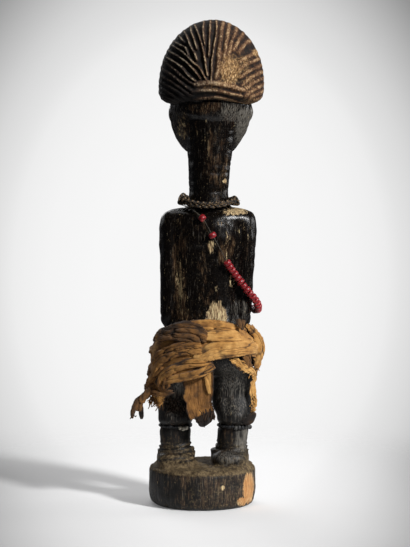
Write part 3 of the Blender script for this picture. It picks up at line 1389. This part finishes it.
def fold(stations, seed, stain, torn=0.4, crush=1.0, curl=1.5, step=1.0):
    """A crushed fold over the hips, by [direction, height, half width, distance out, swell]."""
    rows = np.array(stations, float)
    legs = np.hypot(np.diff(rows[:, 0]) * HIP_RADIUS * math.pi / 180, np.diff(rows[:, 1]))
    length = legs.sum()
    width = 2 * rows[:, 2].max()
    s = np.linspace(0, 1, int(length / 0.8 / step) + 2)
    t = np.linspace(-1, 1, int(width / 0.42 / step) + 3)
    at = along_stations(stations, s)
    strip = torn_strip(length, s, at[:, 2], t, seed, 0.1, (6, 1.5), torn)
    bends, crease = creased(strip, FOLD_CREASES, seed + 4)
    u = np.radians(at[:, 0]) * HIP_RADIUS
    du, dz = np.gradient(u), np.gradient(at[:, 1])
    size = np.hypot(du, dz)
    turn = (u[:, None] - (dz / size)[:, None] * strip[..., 1]) / HIP_RADIUS
    z = at[:, 1][:, None] + (du / size)[:, None] * strip[..., 1]
    out = at[:, 3][:, None] + 0.75 * at[:, 4][:, None] * (1 - np.abs(t[None]) ** 6)
    out = out + (bends * crush - 0.45) - curl * ease(0.86, 1, np.abs(t))[None]
    out = out - 1.2 * (ease(0.06, 0, s) + ease(0.94, 1, s))[:, None]
    places = on_hips(turn.ravel(), z.ravel(), out.ravel()).reshape(strip.shape)
    rims = np.maximum(ease(0.85, 1, np.abs(t))[None], crease * crush)
    return woven(places, (length, width), stain, rims)


def hanging(stations, facing, seed, stain, torn=0.5, crush=0.8, cup=0.0):
    """A strip that hangs free, by [x, y, height, half width], bowed by cup across its width."""
    rows = np.array(stations, float)
    length = np.linalg.norm(np.diff(rows[:, :3], axis=0), axis=1).sum()
    width = 2 * rows[:, 3].max()
    s = np.linspace(0, 1, int(length / 0.8) + 3)
    t = np.linspace(-1, 1, int(width / 0.45) + 3)
    at = along_stations(stations, s)
    strip = torn_strip(length, s, at[:, 3], t, seed, 0.12, (5, 1.3), torn)
    bends, crease = creased(strip, HANGING_CREASES, seed + 4)
    along = unit(np.gradient(at[:, :3], axis=0))
    sideways = unit(np.cross(np.array(facing, float), along))
    normal = np.cross(along, sideways)
    rise = cup * (1 - t[None] ** 2) * at[:, 3][:, None] + (bends - 0.4) * crush
    across = strip[..., 1] * np.cos(np.abs(cup) * 0.9 * t[None])
    places = at[:, None, :3] + sideways[:, None] * across[..., None]
    places = places + normal[:, None] * rise[..., None]
    rims = np.maximum(ease(0.82, 1, np.abs(t))[None], ease(0.95, 1, s)[:, None])
    return woven(places, (length, width), stain, np.maximum(rims, 0.8 * (crease * crush)))


def rolled(stations, seed, stain, turns=1.5):
    """A rolled and twisted end, by [x, y, height, half width, half depth], closed at both ends."""
    rows = np.array(stations, float)
    length = np.linalg.norm(np.diff(rows[:, :3], axis=0), axis=1).sum()
    s = np.linspace(0, 1, int(length / 0.7) + 3)
    at = along_stations(stations, s)
    along = unit(np.gradient(at[:, :3], axis=0))
    sideways = unit(np.cross((0, 1, 0.02), along))
    normal = np.cross(along, sideways)
    angle = np.linspace(0, math.tau, 19)[None] + 0 * s[:, None]
    ripple = np.cos(3 * (angle + turns * math.tau * s[:, None]))
    ripple += 0.5 * np.cos(5 * (angle - turns * 4 * s[:, None]) + seed)
    closing = np.sqrt(np.clip(np.minimum(ease(0, 0.06, s), ease(1, 0.94, s)), 0.01, 1))[:, None]
    round_it = (1 + 0.13 * ripple) * closing
    places = (
        at[:, None, :3]
        + sideways[:, None] * (at[:, 3][:, None] * np.cos(angle) * round_it)[..., None]
        + normal[:, None] * (at[:, 4][:, None] * np.sin(angle) * round_it)[..., None]
    )
    return woven(places, (length, 12), stain, ease(0.3, -1.2, ripple) * 0.6)


UNDER_GRID = (190, 44)
turns = np.linspace(0, math.tau, UNDER_GRID[0], endpoint=False)
round_turn, level = np.meshgrid(turns, np.linspace(0, 1, UNDER_GRID[1]), indexing="ij")
rim_place = np.stack([np.cos(turns) * 40, np.sin(turns) * 40, turns * 0], axis=1)
foot_line = edge_at(CLOTH_FOOT, turns) + 1.3 + 0.8 * lumps(rim_place, 3, 41)
foot_line += 0.6 * lumps(rim_place, 1.2, 42)
top_line = edge_at(CLOTH_TOP, turns) - 1.2
under_z = foot_line[:, None] + (top_line - foot_line)[:, None] * level
flat = np.stack([np.cos(round_turn) * 42, np.sin(round_turn) * 42, under_z], axis=2)
flat = flat.reshape(-1, 3)
under_out = 3.9 + 0.45 * lumps(flat, (14, 14, 2.4), 43) + 0.35 * lumps(flat, (24, 24, 5), 44)
under_places = on_hips(round_turn.ravel(), under_z.ravel(), under_out).reshape(*UNDER_GRID, 3)
wraps = [woven(under_places, (260, 45), 0.45, ease(0.05, 0, level), wrap=True)]

hem = [
    [a, float(edge_at(CLOTH_TOP, [math.radians(a)])[0]) - 2.4, 2.9, 4.3, 1.3]
    for a in range(-12, 350, 15)
]
wraps.append(fold(hem, 50, stain=0.5, torn=0.3, step=1.25))
BACK_RIGHT = [
    [[72, 150.2, 3.4, 4.6, 1.0], [95, 150, 4.2, 4.7, 1.2], [118, 148.4, 3.8, 4.9, 1.3],
     [142, 144.5, 3.2, 4.8, 1.2], [160, 140.5, 3, 4.6, 1.1], [176, 137.5, 2.4, 4.2, 0.9]],
    [[84, 142.2, 3.2, 5.0, 1.1], [100, 141.4, 4.4, 5.4, 1.6], [125, 141, 4.6, 5.4, 1.7],
     [146, 139.3, 3.9, 5.2, 1.5], [162, 136.6, 3.2, 4.8, 1.3], [176, 133.5, 2.6, 4.3, 1.0]],
    [[77, 121.5, 3, 4.6, 0.9], [88, 125.6, 6, 5.2, 1.5], [100, 129.4, 7.6, 5.4, 1.8],
     [120, 130.4, 6.9, 5.5, 1.9], [140, 130.6, 6.5, 5.3, 1.7], [158, 129.2, 6, 5, 1.5],
     [176, 126, 4.6, 4.4, 1.0]],
]
BACK_LEFT = [
    [[86, 134.7, 2.4, 4.9, 1.3], [76, 134.4, 2.8, 5.2, 1.6], [63, 133.2, 2.9, 5.2, 1.6],
     [47, 128.6, 2.9, 5.2, 1.6], [33, 123.5, 3, 5, 1.5], [20, 116, 2.6, 4.6, 1.2]],
    [[88, 128.2, 2.6, 4.6, 1.1], [77, 129.0, 3, 5, 1.5], [66, 128.4, 3.2, 5.2, 1.6],
     [51, 124.4, 3.2, 5.2, 1.6], [37, 118.2, 3.2, 5, 1.5], [27, 110, 3, 4.8, 1.4],
     [20, 101, 2.6, 4.4, 1.2]],
    [[98, 121.2, 2.6, 4.3, 1.2], [88, 119.6, 3.4, 4.9, 1.5], [72, 118.6, 3.9, 5.1, 1.7],
     [55, 113.6, 3.9, 5.1, 1.7], [42, 107.6, 3.8, 5, 1.6], [33, 99, 3.4, 4.6, 1.3]],
    [[100, 117, 2.4, 5.3, 1.3], [92, 113.4, 3.2, 5.9, 1.6], [80, 109.8, 3.4, 5.9, 1.6],
     [66, 107, 3.1, 5.6, 1.5], [54, 104.6, 2.8, 5.3, 1.4], [45, 101.5, 2, 4.8, 1.2]],
    [[38, 116, 3.4, 4.4, 1.2], [26, 107, 4, 4.7, 1.4], [15, 99, 4, 4.6, 1.3],
     [4, 95.5, 3, 4.3, 1.2]],
]
for n, line in enumerate(BACK_RIGHT):
    wraps.append(fold(line, 60 + 9 * n, stain=(0.34, 0.24, 0.2)[n], crush=(1, 1.1, 0.8)[n]))
for n, line in enumerate(BACK_LEFT):
    wraps.append(fold(line, 100 + 9 * n, stain=(0.5, 0.46, 0.42, 0.4, 0.55)[n], crush=1.2))

# The dark fold over the left hip, the short end that lies under it, and the tail's upper edge.
wraps.append(
    fold(
        [[24, 138.5, 3.2, 5.2, 1.0], [40, 142, 6, 6, 1.2], [58, 144.4, 7.9, 6.4, 1.2],
         [74, 144, 8, 6.7, 1.1], [84, 142, 6.4, 6.8, 1.0], [92, 139.4, 3.4, 6.4, 0.8]],
        150, stain=0.72, crush=1.2,
    )
)
wraps.append(
    fold(
        [[46, 109, 6.6, 5.2, 0.3], [46, 103, 6.6, 5.8, 0.3], [45, 98, 5, 5.9, 0.3],
         [44, 94, 2.2, 5.7, 0.2]],
        160, stain=0.6, torn=0.7, curl=0.4,
    )
)
wraps.append(
    fold(
        [[-2, 95.5, 1.8, 4.4, 1.1], [14, 94.2, 2.4, 5, 1.5], [30, 92.6, 2.5, 5.2, 1.5],
         [44, 92.4, 2.2, 5.2, 1.4], [56, 95, 1.5, 4.8, 1.0]],
        170, stain=0.55, torn=0.6,
    )
)
FRONT = [
    [[172, 136.5, 3.4, 4.3, 1.0], [200, 137, 4.2, 4.6, 1.3], [235, 136, 4.8, 4.8, 1.5],
     [270, 135.4, 5, 4.9, 1.6], [305, 135.6, 4.8, 4.8, 1.5], [340, 136, 2.8, 4.6, 1.1],
     [375, 134, 0.8, 4.4, 0.8]],
    [[172, 127.5, 4, 4.4, 1.1], [200, 127.6, 4.8, 4.8, 1.5], [235, 125.4, 5, 5, 1.7],
     [270, 124, 5.2, 5.1, 1.8], [305, 124.4, 5, 5, 1.7], [340, 126, 3, 4.8, 1.2],
     [378, 124, 0.8, 4.4, 0.8]],
    [[172, 119, 3.4, 4.3, 1.0], [200, 117, 4.4, 4.7, 1.4], [235, 113.4, 4.8, 5, 1.6],
     [270, 112, 4.8, 5.1, 1.7], [305, 111.6, 5.2, 5, 1.6], [340, 110, 4.8, 4.8, 1.3],
     [372, 107, 3.4, 4.4, 1.0]],
]
for n, line in enumerate(FRONT):
    wraps.append(fold(line, 180 + 9 * n, stain=0.5, step=1.5))

# The torn ends: the tail at the left with its two points, the standing fold and the long torn end
# at the right, a scrap under the left folds, dark corners at the right and the dark curl.
wraps += [
    rolled(
        [[36, 20, 98, 5, 2], [40.5, 19.4, 96, 4.2, 2.2], [45, 19, 92.8, 3.2, 2.2],
         [49.5, 18.5, 88.5, 2.8, 2], [52.4, 18, 84, 2.6, 1.7]],
        210, stain=0.62,
    ),
    hanging([[50.6, 18, 88, 2.6], [53.8, 17.8, 83, 3.9], [55.2, 17.5, 78.5, 4.3],
             [55.6, 17.4, 77, 3.6]], (0.2, 1, 0), 220, stain=0.8, cup=0.25),
    hanging([[57, 17.8, 81, 2], [58.4, 17.4, 76.5, 1.8], [59, 17, 73, 1.5],
             [58.8, 16.8, 70.4, 0.7]], (0.2, 1, 0), 226, stain=0.9, torn=0.3, cup=0.3),
    hanging([[52.2, 17.8, 82, 2.2], [51.6, 17.4, 77, 2.2], [51.2, 17, 73, 1.9],
             [50.9, 16.8, 70, 0.9]], (0.2, 1, 0), 232, stain=1.0, torn=0.3, cup=0.3),
    hanging(
        [[-33, 16, 147.5, 1.6], [-36.6, 14.5, 145.4, 3.2], [-41.2, 12.4, 140, 4.8],
         [-45, 11.2, 131, 5.8], [-45.2, 10.6, 121.5, 5.2], [-42.4, 10.8, 111, 3.4]],
        (-1, 0.75, 0.1), 240, stain=0.24, torn=1.0, crush=1.3, cup=0.5,
    ),
    hanging(
        [[-36.6, 11, 146, 3.6], [-40.6, 9.5, 138, 5.4], [-42.6, 9, 127, 5.6],
         [-42.2, 9.4, 114, 4.4], [-41, 10.4, 103, 2.6]],
        (-1, 0.4, 0), 246, stain=0.4, torn=0.9, crush=1.2, cup=0.35,
    ),
    hanging(
        [[-24, 30.5, 120, 2.4], [-28.4, 28.4, 117.6, 3.2], [-34.6, 24.4, 114.2, 4.2],
         [-39.4, 18.6, 110, 4], [-41.6, 15, 105, 2.5], [-40, 14.6, 98.6, 3], [-40.2, 14.6, 91, 3.2],
         [-41.4, 15.4, 84.5, 2.4], [-41.2, 16.4, 78, 2.2], [-40.8, 17, 73.6, 1]],
        (-0.55, 1, 0), 252, stain=0.15, torn=1.3, crush=1.5, cup=0.1,
    ),
    hanging([[-20, 32.6, 122.4, 1.6], [-25, 31.2, 120, 3], [-30, 28.6, 115, 3],
             [-33.4, 25.6, 109.6, 1]], (-0.55, 1, 0), 262, stain=0.1, torn=1.1, crush=1.5),
    hanging([[39, 21, 97, 4.6], [38, 21.6, 91, 6], [37.2, 21.6, 85.4, 4.6],
             [36.4, 21.6, 81.4, 1.6]], (0.3, 1, 0), 264, stain=0.36, torn=1.4, crush=1.3),
    hanging([[-28.6, 27.6, 153.4, 4.6], [-29, 29.6, 150.6, 3.6], [-29.8, 31, 147.8, 2],
             [-30.4, 31.6, 145.6, 0.6]], (-0.5, 1, 0), 268, stain=0.8, torn=0.4, crush=1, cup=0.1),
    hanging([[-33, 26.8, 128, 3], [-35, 25.2, 121, 3.4], [-37, 22.8, 114, 2]],
            (-0.55, 1, 0), 266, stain=0.6, torn=0.9, crush=1.6),
    rolled(
        [[-41.8, 16.2, 75.4, 1.5, 1.3], [-40.4, 18, 72.2, 2.7, 2.4],
         [-37.2, 19.4, 69.4, 3.4, 2.8], [-33.8, 19.8, 68.8, 2.6, 2],
         [-31.8, 19.8, 69.6, 1.2, 1]],
        260, stain=1.02, turns=0.6,
    ),
]

# Single yarns hang from the torn ends: where from and to, how many, how long and how stained.
FRAYS = [
    ((34, 21.6, 84), (44, 20, 90), 40, 7, 0.6),
    ((51, 17.4, 73), (59, 17.4, 74), 6, 1.8, 0.9),
    ((-44, 10, 112), (-47, 10, 126), 14, 4, 0.2),
    ((-41, 16, 90), (-40, 16.4, 78), 12, 4, 0.2),
    ((-30, 27, 120), (-40, 17, 106), 12, 3.4, 0.2),
]


def loose_yarn(path, radius, stain):
    yarn = spun("yarn", stood(np.array(path)), radius / 1000, sides=3, closed=False)
    for name in ("stain", "frayed"):
        layer = yarn.data.attributes.new(name, "FLOAT", "POINT")
        layer.data.foreach_set("value", [stain] * len(yarn.data.vertices))
    return yarn


random.seed(23)
for begin, end, number, reach, stain in FRAYS:
    for _ in range(number):
        start = Vector(begin).lerp(Vector(end), random.random())
        start += Vector([random.uniform(-1, 1) for _ in range(3)])
        way = Vector((start.x, start.y, 0)).normalized() * random.uniform(-0.1, 0.5)
        way += Vector((0, 0, -1)) + Vector([random.uniform(-0.5, 0.5) for _ in range(3)])
        bow = Vector([random.uniform(-1, 1) for _ in range(3)])
        size = reach * random.uniform(0.35, 1)
        path = [start + way * (size * k / 5) + bow * (0.035 * k * k) for k in range(6)]
        wraps.append(loose_yarn(path, random.uniform(0.1, 0.17), stain))


def cloth_of(name, patches):
    whole = gathered_up(name, patches)
    thick = whole.modifiers.new("cloth thickness", "SOLIDIFY")
    thick.thickness = CLOTH_THICKNESS / 1000
    thick.offset = 0
    bpy.ops.object.modifier_apply(modifier="cloth thickness")
    bpy.ops.object.shade_smooth_by_angle(angle=math.radians(50))
    return whole


loincloth = cloth_of("wound_loincloth", wraps)

# Old undyed cotton gone ochre, stained brown by oil and smoke in patches of 10 mm, darker along torn
# edges. It is a plain weave of coarse handspun yarn, about 0.9 mm from yarn to yarn, with slubs 6 mm
# long and 1 mm thick. It is matt, with a faint fuzz.
cotton, tree, surface = new_finish("old_handwoven_cotton")
surface.inputs["Roughness"].default_value = 0.95
surface.inputs["Sheen Weight"].default_value = 0.06
lay = add_node(tree, "UVMap", uv_map="UVMap")
yarns = {"Vector": lay, "Scale": 0.35, "Distortion": 0.5, "Detail": 1.0}
warp = add_node(tree, "TexWave", yarns, out="Fac", wave_type="BANDS", bands_direction="X")
weft = add_node(tree, "TexWave", yarns, out="Fac", wave_type="BANDS", bands_direction="Y")
weave = add_node(tree, "Math", {0: warp, 1: weft}, operation="MULTIPLY")
slubs = grain(tree, lay, (0.16, 0.9, 1), 4.0, 0.6)
place = add_node(tree, "TexCoord", out="Object")
patches = {"Vector": place, "Scale": 95.0, "Detail": 5.0, "Roughness": 0.62}
patches = add_node(tree, "TexNoise", patches, out="Fac")
stain = add_node(tree, "Attribute", out="Fac", attribute_name="stain")
stain = ragged(tree, stain, patches, 0.24, 0.0, 1.0)
shade = add_node(
    tree, "ValToRGB", {"Fac": stain},
    [(0.0, "#d6a661"), (0.3, "#b28040"), (0.55, "#835827"), (0.8, "#53381b"), (1.0, "#140c07")],
)
darker = add_node(
    tree, "ValToRGB", {"Fac": stain}, [(0.0, "#7d5426"), (0.6, "#4a2f17"), (1.0, "#0c0704")]
)
streak = {"Value": slubs, "From Min": 0.35, "From Max": 0.65, "To Min": 0.0, "To Max": 0.32}
streak = add_node(tree, "MapRange", streak)
shade = add_node(tree, "MixRGB", {"Fac": streak, "Color1": shade, "Color2": darker})
edge = add_node(tree, "Attribute", out="Fac", attribute_name="frayed")
edge = ragged(tree, edge, patches, 0.3, 0.25, 1.0)
shade = add_node(tree, "MixRGB", {"Fac": edge, "Color1": shade, "Color2": colour("#2e1c0c")})
tree.links.new(shade, surface.inputs["Base Color"])
relief = add_node(tree, "Bump", {"Strength": 0.8, "Distance": 0.0012, "Height": slubs})
relief = {"Strength": 0.35, "Distance": 0.0003, "Height": weave, "Normal": relief}
relief = add_node(tree, "Bump", relief)
tree.links.new(relief, surface.inputs["Normal"])
coat_with(loincloth, cotton)
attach(loincloth, "root")
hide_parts("hip_wrap")

# The flap behind: the end of the same cotton, drawn up under the wound folds and let down between
# the thighs. It has one upright crease, and its point is black with dirt and frayed.
FLAP = [
    [4.6, 35.8, 124, 11.4],
    [4.6, 36, 117, 11.8],
    [4.8, 35.2, 108, 12.2],
    [4.6, 33.8, 97, 12.2],
    [4.2, 32.6, 87, 11.6],
    [3.2, 32.2, 80, 10.8],
    [1.2, 32, 75, 9.8],
]
FLAP_TONGUE = [
    [-2.6, 36.8, 120, 2.6],
    [-2.4, 36.4, 110, 3],
    [-3.4, 35.4, 100, 2.2],
    [-4.6, 34.6, 93, 0.8],
]
FLAP_POINT = [
    [0.8, 31.2, 80, 8.6],
    [0.2, 31.1, 74, 8.8],
    [0.4, 31, 69.5, 6],
    [0.8, 30.8, 65.4, 2],
]
BEHIND = (0, 1, 0)
flap_parts = [
    hanging(FLAP, BEHIND, 270, stain=0.56, torn=0.4, crush=0.55, cup=-0.05),
    hanging(FLAP_TONGUE, BEHIND, 276, stain=0.2, torn=0.3, crush=0.6, cup=0.15),
    hanging(FLAP_POINT, BEHIND, 282, stain=1.35, torn=1.2, crush=1.5),
]
for _ in range(34):
    start = Vector((random.uniform(-9.5, 9), 31.8, 78 - random.uniform(0, 4)))
    way = Vector((random.uniform(-0.5, 0.5) - 0.05 * start.x, random.uniform(-0.3, 0.3), -1))
    size = random.uniform(3, 9) * (1 - abs(start.x) / 14)
    path = [start + way * (size * k / 4) for k in range(5)]
    flap_parts.append(loose_yarn(path, random.uniform(0.12, 0.2), 1.3))
flap = cloth_of("hanging_back_flap", flap_parts)
coat_with(flap, cotton)
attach(flap, "root")
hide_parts("back_strip")

# The studio: a pale paper floor that fades into a pale room, both greyer towards the corners of the
# picture, and a hard key light from the figure's right with four weak ones about it.
PAPER_WHITE = [
    (0.31, "#f7f7f7"), (0.456, "#f4f4f4"), (0.53, "#f0f0f0"), (0.567, "#ededed"),
    (0.6125, "#e4e4e4"), (0.681, "#d9d9d9"), (0.725, "#cfcfcf"), (0.797, "#b9b9b9"),
    (0.869, "#9d9d9d"), (0.906, "#8c8c8c"),
]
bpy.ops.mesh.primitive_circle_add(vertices=96, radius=2.2, fill_type="NGON")
floor = bpy.context.object
floor.name = "studio_floor"
paper, tree, surface = new_finish("white_studio_paper")
surface.inputs["Roughness"].default_value = 0.9
place = add_node(tree, "TexCoord", out="Object")
around = {"Vector": place, "Location": (0.015, 0.519, 0), "Scale": (-3.69, 0.525, 0)}
around = add_node(tree, "Mapping", around)
off_centre = add_node(tree, "VectorMath", {0: around}, out="Value", operation="LENGTH")
sweep = add_node(tree, "ValToRGB", {"Fac": off_centre}, PAPER_WHITE)
greyer = add_node(tree, "MixRGB", {"Fac": 0.14, "Color1": sweep, "Color2": colour("#000000")})
tree.links.new(greyer, surface.inputs["Base Color"])
tree.links.new(sweep, surface.inputs["Emission Color"])
surface.inputs["Emission Strength"].default_value = 0.14
reach = add_node(tree, "VectorMath", {0: place}, out="Value", operation="LENGTH")
fade = {"Value": reach, "From Min": 0.16, "From Max": 0.5}
fade = add_node(tree, "MapRange", fade, interpolation_type="SMOOTHERSTEP")
clear = add_node(tree, "BsdfTransparent")
mixed = add_node(tree, "MixShader", {0: fade, 1: surface.outputs[0], 2: clear})
tree.links.new(mixed, tree.nodes["Material Output"].inputs["Surface"])
coat_with(floor, paper)

world = bpy.data.worlds.new("pale_room")
bpy.context.scene.world = world
world.use_nodes = True
tree = world.node_tree
way = add_node(tree, "TexCoord", out="Generated")
around = {"Vector": way, "Location": (0.015, 0, -0.462), "Scale": (-7.375, 0, -5.556)}
around = add_node(tree, "Mapping", around)
off_centre = add_node(tree, "VectorMath", {0: around}, out="Value", operation="LENGTH")
wall = add_node(tree, "ValToRGB", {"Fac": off_centre}, PAPER_WHITE)
seen = add_node(tree, "LightPath", out="Is Camera Ray")
wall = add_node(tree, "MixRGB", {"Fac": seen, "Color1": colour("#38373a"), "Color2": wall})
tree.links.new(wall, tree.nodes["Background"].inputs["Color"])


def softbox(name, place, aim, size, power):
    bpy.ops.object.light_add(type="AREA", location=place)
    lamp = bpy.context.object
    lamp.name = name
    lamp.data.shape = "DISK"
    lamp.data.size = size
    lamp.data.energy = power
    lamp.rotation_euler = (Vector(aim) - Vector(place)).to_track_quat("-Z", "Y").to_euler()


softbox("key", (-1.3, 1.35, 1.25), (0, 0, 0.2), 0.3, 62)
softbox("overhead", (0.0, -0.5, 1.9), (0, -0.1, 0), 1.2, 11)
softbox("right strip", (-1.5, -0.5, 0.5), (0, 0, 0.25), 0.6, 5)
softbox("left strip", (1.5, -0.9, 0.6), (0, 0, 0.25), 0.6, 1.2)
softbox("front fill", (0.7, -1.7, 0.9), (0, 0, 0.2), 1.0, 9)
bpy.context.scene.view_settings.view_transform = "Standard"
